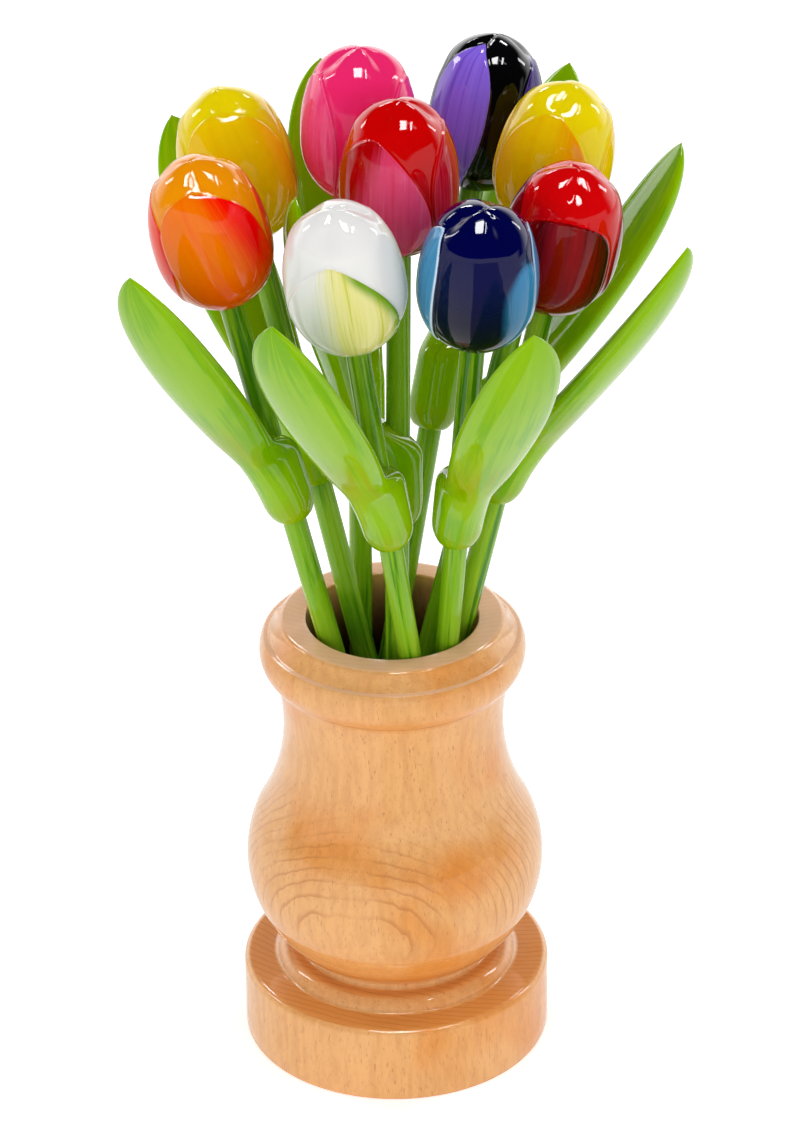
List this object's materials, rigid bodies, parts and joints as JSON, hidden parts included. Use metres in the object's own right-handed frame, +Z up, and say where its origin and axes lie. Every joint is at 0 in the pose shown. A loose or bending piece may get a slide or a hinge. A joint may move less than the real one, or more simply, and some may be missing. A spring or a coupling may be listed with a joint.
{
  "type": "wooden tulips in a turned vase",
  "caption": "Painted wooden tulips with carved leaves, standing loose in a turned beech vase with a round foot, belly and rolled rim.",
  "frame": {"origin": "middle of the vase's flat underside", "axes": "+Z up along the vase's axis and the tulips, +X to the right seen from the front, and the front faces -Y"},
  "size_m": [0.1819, 0.1905, 0.3588],
  "materials": {
    "vase_wood": "clear gloss lacquer over beech",
    "bloom_orange_paint": "brushed gloss paint on turned wood",
    "bloom_yellow_left_paint": "brushed gloss paint on turned wood",
    "bloom_pink_paint": "brushed gloss paint on turned wood",
    "bloom_white_paint": "brushed gloss paint on turned wood",
    "bloom_centre_red_paint": "brushed gloss paint on turned wood",
    "bloom_purple_paint": "brushed gloss paint on turned wood",
    "bloom_blue_paint": "brushed gloss paint on turned wood",
    "bloom_dark_red_paint": "brushed gloss paint on turned wood",
    "bloom_yellow_right_paint": "brushed gloss paint on turned wood",
    "stem_paint": "gloss green paint on a dowel",
    "leaf_paint": "gloss yellow-green paint on carved wood"
  },
  "bodies": {
    "vase": {"vase": "vase_wood"},
    "tulip_orange": {"bloom_orange": "bloom_orange_paint", "stem_orange": "stem_paint", "leaf_orange": "leaf_paint"},
    "tulip_yellow_left": {"bloom_yellow_left": "bloom_yellow_left_paint", "stem_yellow_left": "stem_paint", "leaf_yellow_left": "leaf_paint"},
    "tulip_pink": {"bloom_pink": "bloom_pink_paint", "stem_pink": "stem_paint", "leaf_pink": "leaf_paint"},
    "tulip_white": {"bloom_white": "bloom_white_paint", "stem_white": "stem_paint", "leaf_white": "leaf_paint"},
    "tulip_centre_red": {"bloom_centre_red": "bloom_centre_red_paint", "stem_centre_red": "stem_paint", "leaf_centre_red": "leaf_paint"},
    "tulip_purple": {"bloom_purple": "bloom_purple_paint", "stem_purple": "stem_paint", "leaf_purple": "leaf_paint"},
    "tulip_blue": {"bloom_blue": "bloom_blue_paint", "stem_blue": "stem_paint", "leaf_blue": "leaf_paint"},
    "tulip_dark_red": {"bloom_dark_red": "bloom_dark_red_paint", "stem_dark_red": "stem_paint", "leaf_dark_red": "leaf_paint"},
    "tulip_yellow_right": {"bloom_yellow_right": "bloom_yellow_right_paint", "stem_yellow_right": "stem_paint", "leaf_yellow_right": "leaf_paint"}
  },
  "joints": [
    {"name": "lift_orange", "type": "slide", "parent": "vase", "child": "tulip_orange", "axis": [-0.2128, -0.1143, 0.9704], "range_m": [0, 0.16]},
    {"name": "lift_yellow_left", "type": "slide", "parent": "vase", "child": "tulip_yellow_left", "axis": [-0.2225, 0.1194, 0.9676], "range_m": [0, 0.16]},
    {"name": "lift_pink", "type": "slide", "parent": "vase", "child": "tulip_pink", "axis": [0.0107, 0.0295, 0.9995], "range_m": [0, 0.16]},
    {"name": "lift_white", "type": "slide", "parent": "vase", "child": "tulip_white", "axis": [-0.1196, -0.2146, 0.9694], "range_m": [0, 0.16]},
    {"name": "lift_centre_red", "type": "slide", "parent": "vase", "child": "tulip_centre_red", "axis": [0.0151, -0.0005, 0.9999], "range_m": [0, 0.16]},
    {"name": "lift_purple", "type": "slide", "parent": "vase", "child": "tulip_purple", "axis": [0.1745, 0.2001, 0.9641], "range_m": [0, 0.16]},
    {"name": "lift_blue", "type": "slide", "parent": "vase", "child": "tulip_blue", "axis": [0.0621, -0.2524, 0.9656], "range_m": [0, 0.16]},
    {"name": "lift_dark_red", "type": "slide", "parent": "vase", "child": "tulip_dark_red", "axis": [0.1984, -0.1574, 0.9674], "range_m": [0, 0.16]},
    {"name": "lift_yellow_right", "type": "slide", "parent": "vase", "child": "tulip_yellow_right", "axis": [0.2309, 0.0449, 0.9719], "range_m": [0, 0.16]}
  ]
}
